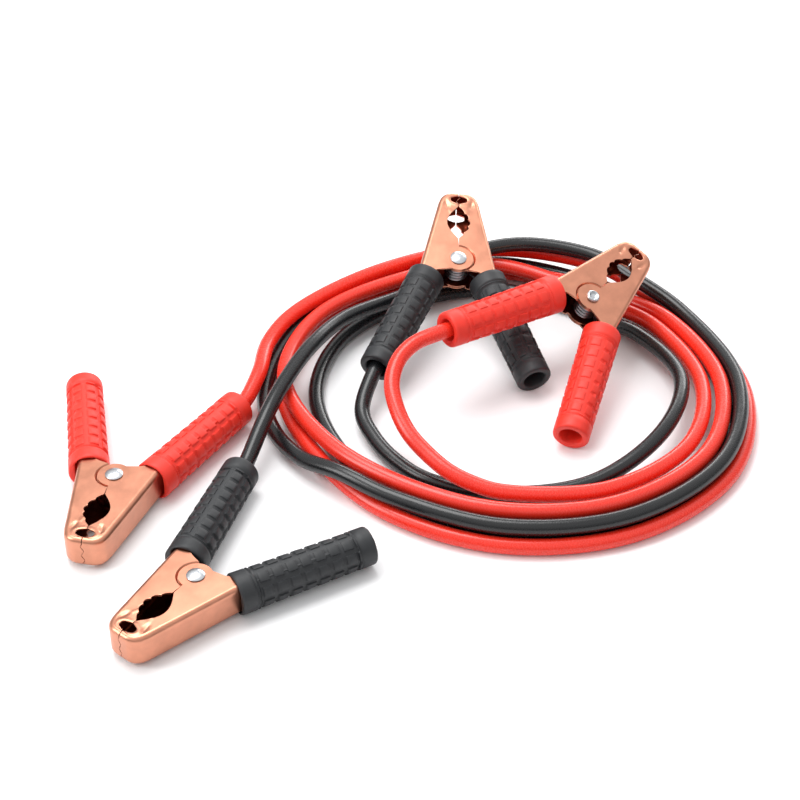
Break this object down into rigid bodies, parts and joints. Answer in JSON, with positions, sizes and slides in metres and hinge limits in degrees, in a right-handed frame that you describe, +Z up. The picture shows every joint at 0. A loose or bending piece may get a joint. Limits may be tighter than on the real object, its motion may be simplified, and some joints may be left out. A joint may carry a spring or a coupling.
{
  "type": "car jumper cable",
  "caption": "Car jumper cable set: a red and a black insulated lead in a loose coil, each with copper-coloured spring clamps in soft ribbed grip sleeves.",
  "frame": {"origin": "on the floor, under the centre of the box round the four clamps", "axes": "+Z up; -Y towards the two front clamps' side of the coil; +X to the right seen from the front"},
  "size_m": [0.4405, 0.3911, 0.0669],
  "materials": {
    "coppered_steel": "copper-plated sheet steel, satin",
    "red_sleeve_pvc": "soft PVC, matt",
    "black_sleeve_pvc": "soft PVC, matt",
    "red_cable_pvc": "PVC jacket, smooth",
    "black_cable_pvc": "PVC jacket, smooth",
    "zinc_steel": "zinc-plated, bright",
    "spring_steel": "spring steel wire, bright"
  },
  "bodies": {
    "lead_set": {"front_black_cable_jaw": "coppered_steel", "front_black_cable_sleeve": "black_sleeve_pvc", "front_black_rivet": "zinc_steel", "front_black_spring": "spring_steel", "front_red_cable_jaw": "coppered_steel", "front_red_cable_sleeve": "red_sleeve_pvc", "front_red_rivet": "zinc_steel", "front_red_spring": "spring_steel", "rear_black_cable_jaw": "coppered_steel", "rear_black_cable_sleeve": "black_sleeve_pvc", "rear_black_rivet": "zinc_steel", "rear_black_spring": "spring_steel", "rear_red_cable_jaw": "coppered_steel", "rear_red_cable_sleeve": "red_sleeve_pvc", "rear_red_rivet": "zinc_steel", "rear_red_spring": "spring_steel", "red_cable": "red_cable_pvc", "black_cable": "black_cable_pvc"},
    "front_black_handle": {"front_black_free_jaw": "coppered_steel", "front_black_free_sleeve": "black_sleeve_pvc"},
    "front_red_handle": {"front_red_free_jaw": "coppered_steel", "front_red_free_sleeve": "red_sleeve_pvc"},
    "rear_black_handle": {"rear_black_free_jaw": "coppered_steel", "rear_black_free_sleeve": "black_sleeve_pvc"},
    "rear_red_handle": {"rear_red_free_jaw": "coppered_steel", "rear_red_free_sleeve": "red_sleeve_pvc"}
  },
  "joints": [
    {"name": "front_black_pivot", "type": "hinge", "parent": "lead_set", "child": "front_black_handle", "pos_m": [-0.0909, -0.145, 0.0126], "axis": [0, 0, 1], "range_deg": [0, 30], "stiffness_Nm_per_rad": 2.3, "springref_deg": -49.85, "deforming": ["front_black_spring"]},
    {"name": "front_red_pivot", "type": "hinge", "parent": "lead_set", "child": "front_red_handle", "pos_m": [-0.1469, -0.058, 0.0126], "axis": [0, 0, -1], "range_deg": [0, 30], "stiffness_Nm_per_rad": 2.3, "springref_deg": -49.85, "deforming": ["front_red_spring"]},
    {"name": "rear_black_pivot", "type": "hinge", "parent": "lead_set", "child": "rear_black_handle", "pos_m": [0.0621, 0.136, 0.0386], "axis": [-0.0875, 0.255, -0.963], "range_deg": [0, 30], "stiffness_Nm_per_rad": 2.3, "springref_deg": -49.85, "deforming": ["rear_black_spring"]},
    {"name": "rear_red_pivot", "type": "hinge", "parent": "lead_set", "child": "rear_red_handle", "pos_m": [0.1456, 0.088, 0.0422], "axis": [-0.2918, 0.3282, -0.8984], "range_deg": [0, 30], "stiffness_Nm_per_rad": 2.3, "springref_deg": -49.85, "deforming": ["rear_red_spring"]}
  ]
}
